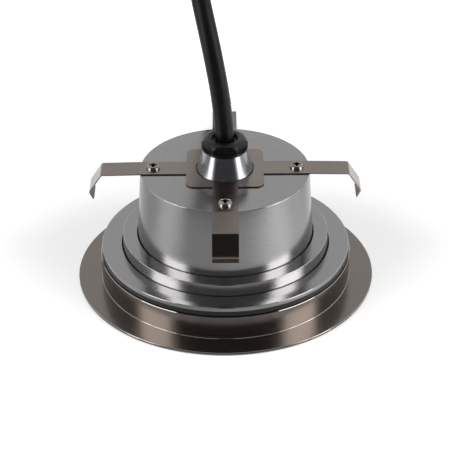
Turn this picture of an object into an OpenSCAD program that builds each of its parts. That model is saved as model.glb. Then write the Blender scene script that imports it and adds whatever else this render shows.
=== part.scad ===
/* [Trim ring] */
// Outside diameter of the flange that covers the edge of the hole
flange_d = 130; // [124:1:150]
// Thickness of the flange
flange_t = 1.2; // [0.8:0.1:1.8]
// Outside diameter of the wall that drops into the mounting sleeve
ring_wall_d = 109.4; // [108:0.2:114]
// Thickness of that wall
ring_wall_t = 1; // [0.7:0.1:1.4]
// Height of the wall's rear edge above the face
ring_h = 11.9; // [11.4:0.1:15]
// Overlap of the face over the edge of the glass
window_overlap = 2.5; // [2:0.1:8]
// Thickness of the inner lip that holds the glass
lip_t = 2.6; // [2.2:0.1:3.2]

/* [Glass and seals] */
// Thickness of the glass
glass_t = 6; // [4:0.5:6.5]
// Thickness of the glass gasket over each face of the glass
gasket_face_t = 0.8; // [0.6:0.1:1]
// Thickness of the glass gasket round the edge of the glass
gasket_edge_t = 0.9; // [0.6:0.1:1.1]
// Height of the square seal between trim ring and housing
body_seal_h = 2.1; // [1.6:0.1:3]
// Depth of the housing groove that the square seal sits in
body_seal_depth = 1.8; // [1.2:0.1:2.2]

/* [Housing] */
// Inset of the rear disc's edge from the wall of the trim ring
disc_inset = 0.65; // [0.2:0.05:1.2]
// Height of the rear disc's edge
disc_edge_h = 2; // [1.5:0.1:3]
// Width of the ledge between the rear disc's edge and the step
disc_ledge_w = 9; // [8:0.05:9.6]
// Narrowing of the step's radius from its foot to its top
step_draft = 0.4; // [0:0.1:1.2]
// Height of the step
step_h = 5.1; // [5:0.1:8]
// Diameter of the barrel where it leaves the step
barrel_base_d = 76.4; // [76:0.2:80]
// Diameter of the barrel at its rear end
barrel_top_d = 72.8; // [72:0.2:75]
// Height of the barrel
barrel_h = 30.5; // [29:0.5:45]
// Thickness of the housing's neck, which the trim screws go into
neck_wall_t = 6.2; // [5.8:0.1:7.5]
// Thickness of the housing's side walls
housing_wall = 3; // [2.4:0.1:3.4]
// Thickness of the step's roof
step_roof_t = 2.8; // [2.4:0.1:3.2]
// Thickness of the rear plate
rear_plate_t = 4; // [3.5:0.5:5]
// Rounding of the housing's outer edges
edge_r = 0.3; // [0.2:0.1:0.8]

/* [Light engine] */
// Thickness of the aluminium heat spreader
spreader_t = 2; // [1.5:0.1:2.3]
// Thickness of the light board
board_t = 1.6; // [1:0.1:1.8]
// Side length of one emitter
emitter_w = 3; // [2.4:0.1:3.1]
// Height of one emitter
emitter_h = 0.9; // [0.6:0.1:1.1]
// Radius of the inner circle of emitters
inner_ring_r = 12.5; // [11.5:0.5:13.5]
// Radius of the outer circle of emitters
outer_ring_r = 26; // [25.5:0.5:26.5]
// Thickness of the lens plate
lens_plate_t = 1.2; // [0.8:0.1:1.4]
// Radius of one lens at the lens plate
lens_r = 5; // [4:0.1:5.1]
// Radius of one lens at its emitter
lens_tip_r = 3; // [2.6:0.1:3.4]
// Distance of the light engine's screws from the bore of the barrel
engine_screw_inset = 3.2; // [3:0.1:3.4]

/* [Driver] */
// Radius of the driver board
driver_r = 29.5; // [28:0.5:31]
// Thickness of the driver board
driver_t = 1.6; // [1:0.2:2]
// Height of the posts between rear plate and driver board
driver_post_h = 10; // [9.5:0.5:12]
// Radius of the circle of driver posts
driver_post_circle = 24; // [22.5:0.5:25]

/* [Cable gland] */
// Radius of the gland's cone at the rear plate
cone_base_r = 11.2; // [10.6:0.1:12]
// Radius of the gland's cone under the nut
cone_top_r = 9.6; // [9.3:0.1:10.4]
// Height of the gland's cone
cone_h = 10.2; // [8:0.2:14]
// Radius of the gland's threaded stub
stub_r = 8; // [7.5:0.1:8.2]
// Width across flats of the gland nut
gland_nut_af = 17; // [16.6:0.1:19]
// Height of the gland nut
gland_nut_h = 5.2; // [4.8:0.1:7]
// Radius of the opening in the gland nut
gland_mouth_r = 5.6; // [5:0.1:5.9]
// Thickness of the lock nut inside the housing
lock_nut_t = 3.6; // [3:0.1:4]

/* [Cross spring] */
// Thickness of the spring sheet
sheet_t = 0.5; // [0.3:0.05:0.8]
// Width of the square middle of the spring
plate_w = 33; // [30:0.5:40]
// Corner radius of the square middle
plate_corner_r = 3.6; // [2:0.2:6]
// Gap between the gland's cone and the edge of its hole
plate_hole_gap = 1.4; // [1:0.1:2.8]
// Width of one spring arm
arm_w = 10.8; // [9:0.2:13]
// Distance of the arm's first bend from the axis
arm_bend_r = 52.8; // [48:0.2:54]
// Distance of the arm's outermost bend from the axis
arm_reach_r = 58.1; // [56:0.1:61]
// Drop of the outermost bend below the root of the arm
arm_drop = 8.3; // [6:0.1:12]
// Inward return of the arm's tip
tip_return = 1.6; // [1:0.1:3]
// Drop of the arm's tip below the outermost bend
tip_drop = 3.4; // [2:0.1:5]
// Inner radius of each bend
bend_r = 0.8; // [0.5:0.1:1.5]
// Radius of the circle of spring screws
spring_screw_circle = 30.7; // [29:0.1:31]

/* [Cable] */
// Diameter of the cable
cable_d = 8; // [7:0.1:8.4]
// Diameter of one insulated core
core_d = 2.3; // [2:0.1:2.4]
// Length of the bare cores at the free end
core_free_len = 24; // [16:1:30]

/* [Hidden] */
$fn = 96;

// Clearances and small shared sizes
slip = 0.3;
loose = 0.1;
screw_play = 0.2;
hole_extra = 0.5;
eps = 0.01;
round_steps = 5;

// Radii of the trim ring
flange_r = flange_d / 2;
ring_wall_r = ring_wall_d / 2;
ring_bore_r = ring_wall_r - ring_wall_t;
ring_fillet = 0.3;
ring_top_chamfer = 0.2;
flange_edge_r = 0.3;
window_bevel = 0.6;

// Radii of the housing's neck, of the glass that it holds and of the window in front of it
neck_out_r = ring_bore_r - slip;
neck_in_r = neck_out_r - neck_wall_t;
neck_screw_circle = (neck_out_r + neck_in_r) / 2;
gasket_out_r = neck_in_r - slip;
glass_r = gasket_out_r - gasket_edge_t;
window_r = glass_r - window_overlap;
gasket_cover = 2;

// Heights of the glass and its gasket, counted up from the face
glass_z = lip_t + gasket_face_t;
glass_top_z = glass_z + glass_t;
clamp_z = glass_top_z + gasket_face_t;
glass_bevel = 0.6;

// Radii and heights of the housing
seal_z = ring_h;
disc_z = seal_z + body_seal_h;
disc_top_z = disc_z + disc_edge_h;
disc_r = ring_wall_r - disc_inset;
step_base_r = disc_r - disc_ledge_w;
step_top_r = step_base_r - step_draft;
step_top_z = disc_top_z + step_h;
rear_z = step_top_z + barrel_h;
rear_under_z = rear_z - rear_plate_t;
groove_r = neck_out_r - body_seal_depth;
body_seal_out_r = disc_r - 0.05;
body_seal_chamfer = 0.3;
chamber_r = step_top_r - housing_wall + 0.5;
shoulder_z = step_top_z - step_roof_t;
bore_base_r = barrel_base_d / 2 - housing_wall;
bore_top_r = barrel_top_d / 2 - housing_wall;
relief_w = 0.5;
relief_depth = 0.4;

// Screws
m4_r = 2;
m3_r = 1.5;
m3_head_r = 3;
m3_head_h = 1.9;
driver_shank_r = 1.25;
trim_head_r = 3.8;
trim_head_h = trim_head_r - m4_r;
trim_screw_len = ring_h - 1.2;
trim_screw_sink = 0.1;
trim_hole_depth = trim_screw_sink + trim_screw_len - lip_t + hole_extra;
trim_screw_count = 4;
trim_screw_turn = 45;
trim_socket_af = 2.5;
trim_socket_depth = 1.4;
spring_screw_count = 4;
spring_screw_len = 7;
spring_boss_r = 3.4;
spring_boss_h = 8.5;
engine_head_r = 2.75;
engine_head_h = 1.8;
engine_screw_count = 3;
engine_screw_turn = 30;
engine_screw_bite = 7;
engine_boss_r = 3.2;
engine_screw_r = bore_base_r - engine_screw_inset;
engine_boss_h = 9.5;
driver_screw_count = 3;
driver_screw_turn = 15;
driver_post_r = 3;
driver_screw_bite = 6;
driver_head_r = 2.3;
driver_head_h = 1.5;

// Light engine
spreader_r = chamber_r - 0.4;
spreader_z = shoulder_z - spreader_t;
spreader_hole_r = 4;
board_r = spreader_r - 1.6;
board_z = spreader_z - board_t;
inner_ring_count = 6;
outer_ring_count = 12;
lens_rim_r = chamber_r - 0.8;
lens_z = clamp_z + 0.2;
lens_gap = 0.3;
lens_cup_r = emitter_w / sqrt(2) + 0.23;
lens_cup_depth = emitter_h - lens_gap + 0.5;
lens_post_r = 4.2;
engine_seat_t = 1.2;

// Driver
driver_top_z = rear_under_z - driver_post_h;
driver_z = driver_top_z - driver_t;
transformer_core = [18, 7, 13];
transformer_bobbin = [12, 18, 11.5];
transformer_place = [-13, 0];
big_capacitor_r = 5;
big_capacitor_h = 14;
big_capacitor_place = [12, 9];
small_capacitor_r = 4;
small_capacitor_h = 11;
small_capacitor_place = [12, -10];
film_capacitor = [5, 11, 9];
film_capacitor_place = [22, -5.5];
choke_r = 6;
choke_hole_r = 2;
choke_h = 7;
choke_place = [4, -17.5];
terminal_size = [16, 8, 7.6];
terminal_y = 13;
terminal_pitch = 5;
terminal_screw_r = 1.5;
terminal_screw_depth = 2;
lead_r = 0.7;
lead_x = 1.6;

// Cable gland
stub_len = 8;
stub_chamfer = 0.5;
gland_bore_r = cable_d / 2 + 0.4;
gland_nut_wall = 0.8;
gland_stub_r = gland_nut_af / 2 - gland_nut_wall - loose;
gland_stub_wall = 1.4;
gland_stub_h = 3.2;
gland_pocket_r = gland_stub_r - gland_stub_wall;
gland_pocket_depth = 3.3;
cone_edge = 0.5;
cone_top_z = rear_z + cone_h;
gland_nut_top_z = cone_top_z + gland_nut_h;
gland_seat_z = cone_top_z + gland_stub_h + screw_play;
gland_collar_h = 0.8;
gland_crown_r = gland_nut_h * 0.55;
gland_mouth_bevel = 0.5;
lock_nut_af = 20;
gland_ring_r = (stub_r + cone_base_r) / 2;
gland_ring_section = 0.75;
gland_ring_depth = 2 * gland_ring_section + loose;

// Cross spring
root_r = barrel_top_d / 2 + edge_r;
sheet_mid_z = rear_z + sheet_t / 2;
plate_hole_r = cone_base_r + plate_hole_gap;
arm_droop = 0.3;

// Cable
cable_sides = 12;
cable_r = cable_d / 2;
core_r = core_d / 2;
core_bend_r = 2.5;
core_pitch = core_d + 0.15;
core_straight = 0.3;
core_places = [[0, 1.4], [-1.3, -0.9], [1.3, -0.9]];
core_slope = [-3, -2, -1.5];
core_spread = [0, 5, -5];
core_colours = ["#6b4a2f", "#2c63b5", "#7fae3a"];
ferrule_collar_r = 1.5;
ferrule_collar_len = 2;
ferrule_tube_r = 0.8;
ferrule_tube_len = 7;
// The cable leaves the gland upright, leans aside, arches over backwards, comes down behind
// the housing and runs away along the ground
cable_route = [
    [0, 0, 43], [0, 0, 50], [0, 0, 58], [0, 0, 66], [-0.4, 0, 74], [-1.2, 0, 82], [-2.2, 0, 90],
    [-3.5, 0.3, 98], [-5, 2, 106], [-6.8, 5.3, 114], [-8.7, 10.4, 121.5], [-10.5, 17.4, 128],
    [-12, 25.6, 132.4], [-13, 34.6, 134.4], [-13.6, 44, 133.4], [-13.6, 52.8, 129.6],
    [-13.2, 60.2, 123.4], [-12.3, 66, 115.4], [-11.2, 69.8, 106.4], [-9.6, 71.8, 96],
    [-7.8, 72.4, 86], [-6, 72.4, 76], [-4.4, 72.6, 66], [-3, 73, 56], [-1.9, 74.2, 46],
    [-1.2, 77, 36.2], [-0.8, 81.8, 27], [-0.6, 88.6, 18.4], [-0.6, 97, 11.4], [-0.8, 106.6, 6.6],
    [-1, 116, 4.4], [-1.2, 124, 4], [-1.2, 132, 4]
];
// The route is laid out for a rear plate at this height, and rises with it
route_rear_z = 51.6;
route_start_z = cable_route[0][2];
cable_end = cable_route[len(cable_route) - 1];
route_rise = rear_z - route_rear_z;
sheath_start_z = route_start_z + route_rise;

function risen(p) =
    let (share = min(1, (p[2] - cable_end[2]) / (route_start_z - cable_end[2])))
    [p[0], p[1], p[2] + route_rise * share];

// Points of an arc round centre c, from angle a0 to angle a1
function arc(c, r, a0, a1) =
    [for (i = [0:round_steps])
        let (a = a0 + (a1 - a0) * i / round_steps)
        [c[0] + r * cos(a), c[1] + r * sin(a)]];

function unit(v) = v / norm(v);

// Places its children n times round the axis at radius r, the first at angle turn
module around(n, r, turn = 0) {
    for (i = [0:n - 1])
        rotate([0, 0, turn + 360 * i / n])
            translate([r, 0, 0])
                children();
}

// A round disc or sleeve from height z0 to z1
module sleeve(r_out, r_in, z0, z1) {
    translate([0, 0, z0])
        difference() {
            cylinder(r = r_out, h = z1 - z0);
            translate([0, 0, -1])
                cylinder(r = r_in, h = z1 - z0 + 2);
        }
}

// A hexagonal prism of width af across flats, two flats facing front and back
module hexagon(af, h) {
    cylinder(r = af / sqrt(3), h = h, $fn = 6);
}

// Cross recess for a screwdriver, cut down from z = 0
module cross_recess(span, blade, depth) {
    for (turn = [0, 90])
        rotate([0, 0, turn])
            translate([-span / 2, -blade / 2, -depth])
                cube([span, blade, depth + 1]);
}

// Domed screw with its head above z = 0 and its shank below
module dome_screw(head_r, head_h, shank_r, shank_len) {
    dome_r = head_r * 1.4;
    difference() {
        intersection() {
            cylinder(r = head_r, h = head_h);
            translate([0, 0, head_h - dome_r])
                sphere(r = dome_r);
        }
        translate([0, 0, head_h])
            cross_recess(head_r * 1.15, head_r * 0.26, head_h * 0.6);
    }
    translate([0, 0, -shank_len])
        cylinder(r = shank_r, h = shank_len + eps);
}

// Holes for the trim screws, with their countersinks in the face
module trim_screw_holes() {
    rim_r = trim_head_r + loose;
    neck_r = m4_r + loose;
    around(trim_screw_count, neck_screw_circle, trim_screw_turn) {
        translate([0, 0, -1])
            cylinder(r = neck_r, h = lip_t + 2);
        translate([0, 0, trim_screw_sink])
            cylinder(r1 = rim_r, r2 = neck_r, h = trim_head_h);
        translate([0, 0, -1])
            cylinder(r = rim_r, h = 1 + trim_screw_sink + eps);
    }
}

// Flat trim flange that covers the edge of the hole and frames the window
module trim_flange() {
    color("#8b8580")
        difference() {
            rotate_extrude()
                polygon(concat(
                    [[window_r, flange_t],
                     [window_r, window_bevel],
                     [window_r + window_bevel, 0]],
                    arc([flange_r - flange_edge_r, flange_edge_r], flange_edge_r, -90, 0),
                    arc([flange_r - flange_edge_r, flange_t - flange_edge_r], flange_edge_r, 0, 90)
                ));
            trim_screw_holes();
        }
}

// Sleeve welded behind the flange: its wall and the inner lip that holds the glass
module trim_sleeve() {
    color("#8b8580")
        difference() {
            rotate_extrude()
                polygon(concat(
                    [[window_r, flange_t]],
                    arc([ring_wall_r + ring_fillet, flange_t + ring_fillet], ring_fillet, 270, 180),
                    [[ring_wall_r, ring_h - ring_top_chamfer],
                     [ring_wall_r - ring_top_chamfer, ring_h],
                     [ring_bore_r, ring_h],
                     [ring_bore_r, lip_t],
                     [window_r, lip_t]]
                ));
            trim_screw_holes();
        }
}

// Countersunk screws that pull the trim ring up against the housing
module trim_screws() {
    color("#a9a9a9")
        around(trim_screw_count, neck_screw_circle, trim_screw_turn)
            translate([0, 0, trim_screw_sink])
                difference() {
                    union() {
                        cylinder(r1 = trim_head_r, r2 = m4_r, h = trim_head_h);
                        cylinder(r = m4_r, h = trim_screw_len);
                    }
                    translate([0, 0, -1])
                        hexagon(trim_socket_af, trim_socket_depth + 1);
                }
}

// Toughened glass with ground edges
module face_glass() {
    edge = glass_r - loose;
    color("#cfe0e2", 0.45)
        rotate_extrude()
            polygon([
                [0, glass_z], [edge - glass_bevel, glass_z], [edge, glass_z + glass_bevel],
                [edge, glass_top_z - glass_bevel], [edge - glass_bevel, glass_top_z],
                [0, glass_top_z]
            ]);
}

// Silicone gasket of channel section that wraps the edge of the glass
module glass_gasket() {
    inner = glass_r - gasket_cover;
    color("#1c1c1d")
        rotate_extrude()
            polygon([
                [inner, lip_t], [gasket_out_r, lip_t], [gasket_out_r, clamp_z],
                [inner, clamp_z], [inner, glass_top_z], [glass_r, glass_top_z],
                [glass_r, glass_z], [inner, glass_z]
            ]);
}

// Square seal with eased outer corners, in the groove between trim ring and rear disc
module body_seal() {
    color("#161617")
        rotate_extrude()
            polygon([
                [groove_r + loose, seal_z],
                [body_seal_out_r - body_seal_chamfer, seal_z],
                [body_seal_out_r, seal_z + body_seal_chamfer],
                [body_seal_out_r, disc_z - body_seal_chamfer],
                [body_seal_out_r - body_seal_chamfer, disc_z],
                [groove_r + loose, disc_z]
            ]);
}

// Narrow relief groove turned into a flat of the housing at height z, beside a wall of radius r
function relief_groove(r, z) =
    [[r + relief_w, z], [r + relief_w / 2, z - relief_depth], [r, z]];

// Outline of the housing, first the outside upwards, then the inside downwards
function housing_outline() = concat(
    [[neck_in_r, lip_t],
     [neck_out_r - 0.4, lip_t],
     [neck_out_r, lip_t + 0.4],
     [neck_out_r, seal_z],
     [groove_r, seal_z],
     [groove_r, disc_z],
     [disc_r - 0.3, disc_z],
     [disc_r, disc_z + 0.3]],
    arc([disc_r - edge_r, disc_top_z - edge_r], edge_r, 0, 90),
    relief_groove(step_base_r, disc_top_z),
    arc([step_top_r - edge_r, step_top_z - edge_r], edge_r, 8, 90),
    relief_groove(barrel_base_d / 2, step_top_z),
    arc([barrel_top_d / 2 - edge_r, rear_z - edge_r], edge_r, 3, 90),
    [[0, rear_z],
     [0, rear_under_z],
     [bore_top_r - 2, rear_under_z],
     [bore_top_r, rear_under_z - 2],
     [bore_base_r, shoulder_z],
     [chamber_r, shoulder_z],
     [chamber_r, clamp_z],
     [neck_in_r, clamp_z]]
);

// Cast and turned housing: neck, rear disc, step and barrel, with its bosses inside
module housing() {
    boss_wall_r = bore_base_r + housing_wall / 2;
    color("#9b9c9e")
        difference() {
            union() {
                rotate_extrude()
                    polygon(housing_outline());
                around(spring_screw_count, spring_screw_circle)
                    translate([0, 0, rear_z - spring_boss_h])
                        cylinder(r = spring_boss_r, h = spring_boss_h - 1);
                around(driver_screw_count, driver_post_circle, driver_screw_turn)
                    translate([0, 0, driver_top_z])
                        cylinder(r = driver_post_r, h = driver_post_h + 1);
                intersection() {
                    around(engine_screw_count, engine_screw_r, engine_screw_turn)
                        translate([0, 0, shoulder_z]) {
                            cylinder(r = engine_boss_r, h = engine_boss_h);
                            translate([0, -engine_boss_r, 0])
                                cube([engine_boss_r + 2, engine_boss_r * 2, engine_boss_h]);
                        }
                    translate([0, 0, shoulder_z])
                        cylinder(r1 = boss_wall_r, r2 = boss_wall_r - 0.8, h = engine_boss_h + 1);
                }
            }
            translate([0, 0, rear_under_z - 1])
                cylinder(r = stub_r + loose, h = rear_plate_t + 2);
            around(spring_screw_count, spring_screw_circle)
                translate([0, 0, rear_z - spring_screw_len - hole_extra])
                    cylinder(r = m3_r + loose, h = spring_screw_len + hole_extra + 1);
            around(driver_screw_count, driver_post_circle, driver_screw_turn)
                translate([0, 0, driver_top_z - 1])
                    cylinder(r = driver_shank_r + loose, h = driver_screw_bite + hole_extra + 1);
            around(engine_screw_count, engine_screw_r, engine_screw_turn)
                translate([0, 0, shoulder_z - 1])
                    cylinder(r = m3_r + loose, h = engine_screw_bite + hole_extra + 1);
            around(trim_screw_count, neck_screw_circle, trim_screw_turn)
                translate([0, 0, lip_t - 1])
                    cylinder(r = m4_r + loose, h = trim_hole_depth + 1);
        }
}

// Aluminium plate that carries the heat from the light board into the step
module heat_spreader() {
    color("#b9babc")
        difference() {
            sleeve(spreader_r, spreader_hole_r, spreader_z, shoulder_z);
            around(engine_screw_count, engine_screw_r, engine_screw_turn)
                translate([0, 0, spreader_z - 1])
                    cylinder(r = m3_r + screw_play, h = spreader_t + 2);
        }
}

// Metal-core circuit board with the emitters on its front
module light_board() {
    color("#e9ebe8")
        difference() {
            translate([0, 0, board_z])
                cylinder(r = board_r, h = board_t);
            around(engine_screw_count, engine_screw_r, engine_screw_turn)
                translate([0, 0, board_z - 1])
                    cylinder(r = m3_r + screw_play, h = board_t + 2);
        }
}

// Both circles of emitter places
module emitter_places() {
    around(inner_ring_count, inner_ring_r)
        children();
    around(outer_ring_count, outer_ring_r, engine_screw_turn - 15)
        children();
}

// Light-emitting diodes, each a white body with a yellow window
module emitters() {
    color("#e8d76a")
        emitter_places()
            translate([-emitter_w / 2, -emitter_w / 2, board_z - emitter_h])
                cube([emitter_w, emitter_w, emitter_h]);
}

// Moulded plate with one collimating lens in front of every emitter
module lens_plate() {
    cone_z = lens_z + lens_plate_t;
    tip_z = board_z - lens_gap;
    seat_z = board_z - engine_seat_t;
    color("#dfe9ee", 0.6)
        difference() {
            union() {
                translate([0, 0, lens_z])
                    cylinder(r = lens_rim_r, h = lens_plate_t);
                emitter_places()
                    translate([0, 0, cone_z - eps])
                        cylinder(r1 = lens_r, r2 = lens_tip_r, h = tip_z - cone_z + eps);
                around(engine_screw_count, engine_screw_r, engine_screw_turn)
                    translate([0, 0, lens_z])
                        cylinder(r = lens_post_r, h = board_z - lens_z);
            }
            emitter_places()
                translate([0, 0, tip_z - lens_cup_depth])
                    cylinder(r = lens_cup_r, h = lens_cup_depth + 1);
            around(engine_screw_count, engine_screw_r, engine_screw_turn) {
                translate([0, 0, lens_z - 1])
                    cylinder(r = m3_r + screw_play, h = board_z - lens_z + 2);
                translate([0, 0, lens_z - 1])
                    cylinder(r = engine_head_r + 0.25, h = seat_z - lens_z + 1);
            }
        }
}

// Screws through lens plate, light board and heat spreader into the housing bosses
module engine_screws() {
    seat_z = board_z - engine_seat_t;
    grip = shoulder_z - seat_z;
    color("#a9a9a9")
        around(engine_screw_count, engine_screw_r, engine_screw_turn)
            translate([0, 0, seat_z])
                rotate([180, 0, 0])
                    dome_screw(engine_head_r, engine_head_h, m3_r, grip + engine_screw_bite);
}

// Round driver board hung from the rear plate
module driver_board() {
    color("#2f6b3f")
        difference() {
            translate([0, 0, driver_z])
                cylinder(r = driver_r, h = driver_t);
            around(driver_screw_count, driver_post_circle, driver_screw_turn)
                translate([0, 0, driver_z - 1])
                    cylinder(r = driver_shank_r + screw_play, h = driver_t + 2);
        }
}

// Screws that hold the driver board to its posts
module driver_screws() {
    color("#a9a9a9")
        around(driver_screw_count, driver_post_circle, driver_screw_turn)
            translate([0, 0, driver_z])
                rotate([180, 0, 0])
                    dome_screw(driver_head_r, driver_head_h, driver_shank_r, driver_t + driver_screw_bite);
}

// Block of a given size under the driver board, with its middle at a given place
module hung_block(size, place) {
    translate([place[0] - size[0] / 2, place[1] - size[1] / 2, driver_z - size[2]])
        cube(size);
}

// Transformer of the driver: wound bobbin inside a closed core
module transformer() {
    color("#2c2b2a")
        hung_block(transformer_core, transformer_place);
    color("#c9a227")
        hung_block(transformer_bobbin, transformer_place);
}

// Two electrolytic capacitors and one film capacitor
module capacitors() {
    color("#24303c") {
        translate(concat(big_capacitor_place, driver_z - big_capacitor_h))
            cylinder(r = big_capacitor_r, h = big_capacitor_h);
        translate(concat(small_capacitor_place, driver_z - small_capacitor_h))
            cylinder(r = small_capacitor_r, h = small_capacitor_h);
    }
    color("#8e2f2a")
        hung_block(film_capacitor, film_capacitor_place);
}

// Ring-wound choke
module choke() {
    color("#a65f2b")
        translate(choke_place)
            difference() {
                translate([0, 0, driver_z - choke_h])
                    cylinder(r = choke_r, h = choke_h);
                translate([0, 0, driver_z - choke_h - 1])
                    cylinder(r = choke_hole_r, h = choke_h);
            }
}

// Terminal block where the supply cores end
module terminal_block() {
    size = terminal_size;
    color("#d9d7cf")
        difference() {
            translate([-size[0] / 2, terminal_y, driver_top_z])
                cube(size);
            for (i = [-1:1])
                translate([i * terminal_pitch, terminal_y + size[1] / 2, driver_top_z + size[2]])
                    translate([0, 0, -terminal_screw_depth])
                        cylinder(r = terminal_screw_r, h = terminal_screw_depth + 1);
        }
}

// Two leads from the driver board down to the light board
module light_leads() {
    color("#b3262a")
        for (x = [-lead_x, lead_x])
            translate([x, 0, spreader_z])
                cylinder(r = lead_r, h = driver_z - spreader_z);
}

// Supply cores inside the housing, from the sheath's end to the terminal block
module supply_cores() {
    turn_z = sheath_start_z - core_straight;
    for (i = [-1:1])
        color(core_colours[i + 1])
            translate([i * core_pitch, 0, 0]) {
                translate([0, 0, turn_z])
                    cylinder(r = core_r, h = core_straight);
                translate([0, core_bend_r, turn_z])
                    rotate([0, 90, 0])
                        rotate([0, 0, 270])
                            rotate_extrude(angle = 90)
                                translate([core_bend_r, 0])
                                    circle(r = core_r);
                translate([0, core_bend_r, turn_z - core_bend_r])
                    rotate([-90, 0, 0])
                        cylinder(r = core_r, h = terminal_y - core_bend_r);
            }
}

// Turned gland body: polished cone, inner stub through the rear plate, outer stub for the nut
module gland_body() {
    color("#c4c5c8")
        difference() {
            rotate_extrude()
                polygon([
                    [gland_bore_r, rear_z - stub_len],
                    [stub_r - stub_chamfer, rear_z - stub_len],
                    [stub_r, rear_z - stub_len + stub_chamfer],
                    [stub_r, rear_z],
                    [cone_base_r, rear_z],
                    [cone_top_r, cone_top_z - cone_edge],
                    [cone_top_r - cone_edge, cone_top_z],
                    [gland_stub_r, cone_top_z],
                    [gland_stub_r, cone_top_z + gland_stub_h - stub_chamfer],
                    [gland_stub_r - stub_chamfer, cone_top_z + gland_stub_h],
                    [gland_pocket_r, cone_top_z + gland_stub_h],
                    [gland_pocket_r, cone_top_z - gland_pocket_depth],
                    [gland_bore_r, cone_top_z - gland_pocket_depth]
                ]);
            sleeve(gland_ring_r + gland_ring_depth / 2, gland_ring_r - gland_ring_depth / 2,
                rear_z - eps, rear_z + gland_ring_depth);
        }
}

// Sealing ring under the cone
module gland_ring() {
    color("#161617")
        rotate_extrude()
            translate([gland_ring_r, rear_z + gland_ring_section])
                circle(r = gland_ring_section);
}

// Lock nut that holds the gland body from inside the housing
module lock_nut() {
    color("#c4c5c8")
        translate([0, 0, rear_under_z - lock_nut_t])
            difference() {
                hexagon(lock_nut_af, lock_nut_t);
                translate([0, 0, -1])
                    cylinder(r = stub_r + loose, h = lock_nut_t + 2);
            }
}

// Rubber sleeve that the nut squeezes round the cable
module gland_seal() {
    color("#131314")
        sleeve(gland_pocket_r - loose, cable_r + loose, cone_top_z - gland_pocket_depth, gland_seat_z);
}

// Gland nut: a hexagon with a rounded crown and a round collar, open for the cable
module gland_nut() {
    corner_r = gland_nut_af / sqrt(3);
    crown_centre = [corner_r - gland_crown_r, gland_nut_top_z - gland_crown_r];
    color("#1e1e1f")
        difference() {
            intersection() {
                union() {
                    translate([0, 0, cone_top_z])
                        cylinder(r = corner_r - loose, h = gland_collar_h);
                    translate([0, 0, cone_top_z])
                        hexagon(gland_nut_af, gland_nut_h);
                }
                rotate_extrude()
                    polygon(concat(
                        [[0, cone_top_z - 1], [corner_r, cone_top_z - 1]],
                        arc(crown_centre, gland_crown_r, 0, 90),
                        [[0, gland_nut_top_z]]
                    ));
            }
            translate([0, 0, cone_top_z - 1])
                cylinder(r = gland_stub_r + loose, h = gland_seat_z - cone_top_z + 1);
            translate([0, 0, cone_top_z])
                cylinder(r = gland_mouth_r, h = gland_nut_h + 1);
            translate([0, 0, gland_nut_top_z - gland_mouth_bevel])
                cylinder(r1 = gland_mouth_r, r2 = gland_mouth_r + gland_mouth_bevel + eps,
                    h = gland_mouth_bevel + eps);
        }
}

// Outline of the flat middle of the cross spring, with the roots of its four arms
module spring_plate_outline() {
    inset = plate_w / 2 - plate_corner_r;
    square([plate_w, inset * 2], center = true);
    square([inset * 2, plate_w], center = true);
    for (x = [-inset, inset])
        for (y = [-inset, inset])
            translate([x, y])
                circle(r = plate_corner_r);
    square([root_r * 2, arm_w], center = true);
    square([arm_w, root_r * 2], center = true);
}

// Flat middle of the cross spring, clamped to the rear plate
module spring_plate() {
    color("#8a837b")
        translate([0, 0, rear_z])
            difference() {
                linear_extrude(height = sheet_t)
                    spring_plate_outline();
                translate([0, 0, -1])
                    cylinder(r = plate_hole_r, h = sheet_t + 2);
                around(spring_screw_count, spring_screw_circle)
                    translate([0, 0, -1])
                        cylinder(r = m3_r + screw_play, h = sheet_t + 2);
            }
}

function heading(p, q) = atan2(q[1] - p[1], q[0] - p[0]);

// Samples [x, z, heading] of one bend at q on the way from p to s
function bend(p, q, s, r) =
    let (
        a0 = heading(p, q),
        turn = heading(q, s) - a0,
        side = turn > 0 ? 1 : -1,
        run = r * tan(abs(turn) / 2),
        start = q - run * [cos(a0), sin(a0)],
        centre = start + side * r * [-sin(a0), cos(a0)]
    )
    [for (i = [0:round_steps])
        let (a = a0 + turn * i / round_steps)
        [centre[0] + side * r * sin(a), centre[1] - side * r * cos(a), a]];

// Middle line of one arm from its root to its tip, with both bends
function arm_line() =
    let (
        root = [root_r, sheet_mid_z],
        knee = [arm_bend_r, sheet_mid_z - arm_droop],
        out = [arm_reach_r, sheet_mid_z - arm_drop],
        tip = [arm_reach_r - tip_return, sheet_mid_z - arm_drop - tip_drop],
        mid_r = bend_r + sheet_t / 2
    )
    concat(
        [[root[0], root[1], 0]],
        bend(root, knee, out, mid_r),
        bend(knee, out, tip, mid_r),
        [[tip[0], tip[1], heading(out, tip)]]
    );

// One side of the arm's sheet, half a thickness off its middle line
function arm_side(offset) =
    [for (p = arm_line()) [p[0] - offset * sin(p[2]), p[1] + offset * cos(p[2])]];

function reversed(list) = [for (i = [len(list) - 1:-1:0]) list[i]];

// One springy arm: it runs out over the barrel's edge, turns down and hooks in at its tip
module spring_arm(turn) {
    color("#8a837b")
        rotate([0, 0, turn])
            rotate([90, 0, 0])
                linear_extrude(height = arm_w, center = true)
                    polygon(concat(arm_side(sheet_t / 2), reversed(arm_side(-sheet_t / 2))));
}

module spring_arm_right() {
    spring_arm(0);
}

module spring_arm_back() {
    spring_arm(90);
}

module spring_arm_left() {
    spring_arm(180);
}

module spring_arm_front() {
    spring_arm(270);
}

// Screws that hold the cross spring
module spring_screws() {
    color("#a9a9a9")
        around(spring_screw_count, spring_screw_circle)
            translate([0, 0, rear_z + sheet_t])
                dome_screw(m3_head_r, m3_head_h, m3_r, sheet_t + spring_screw_len);
}

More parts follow.
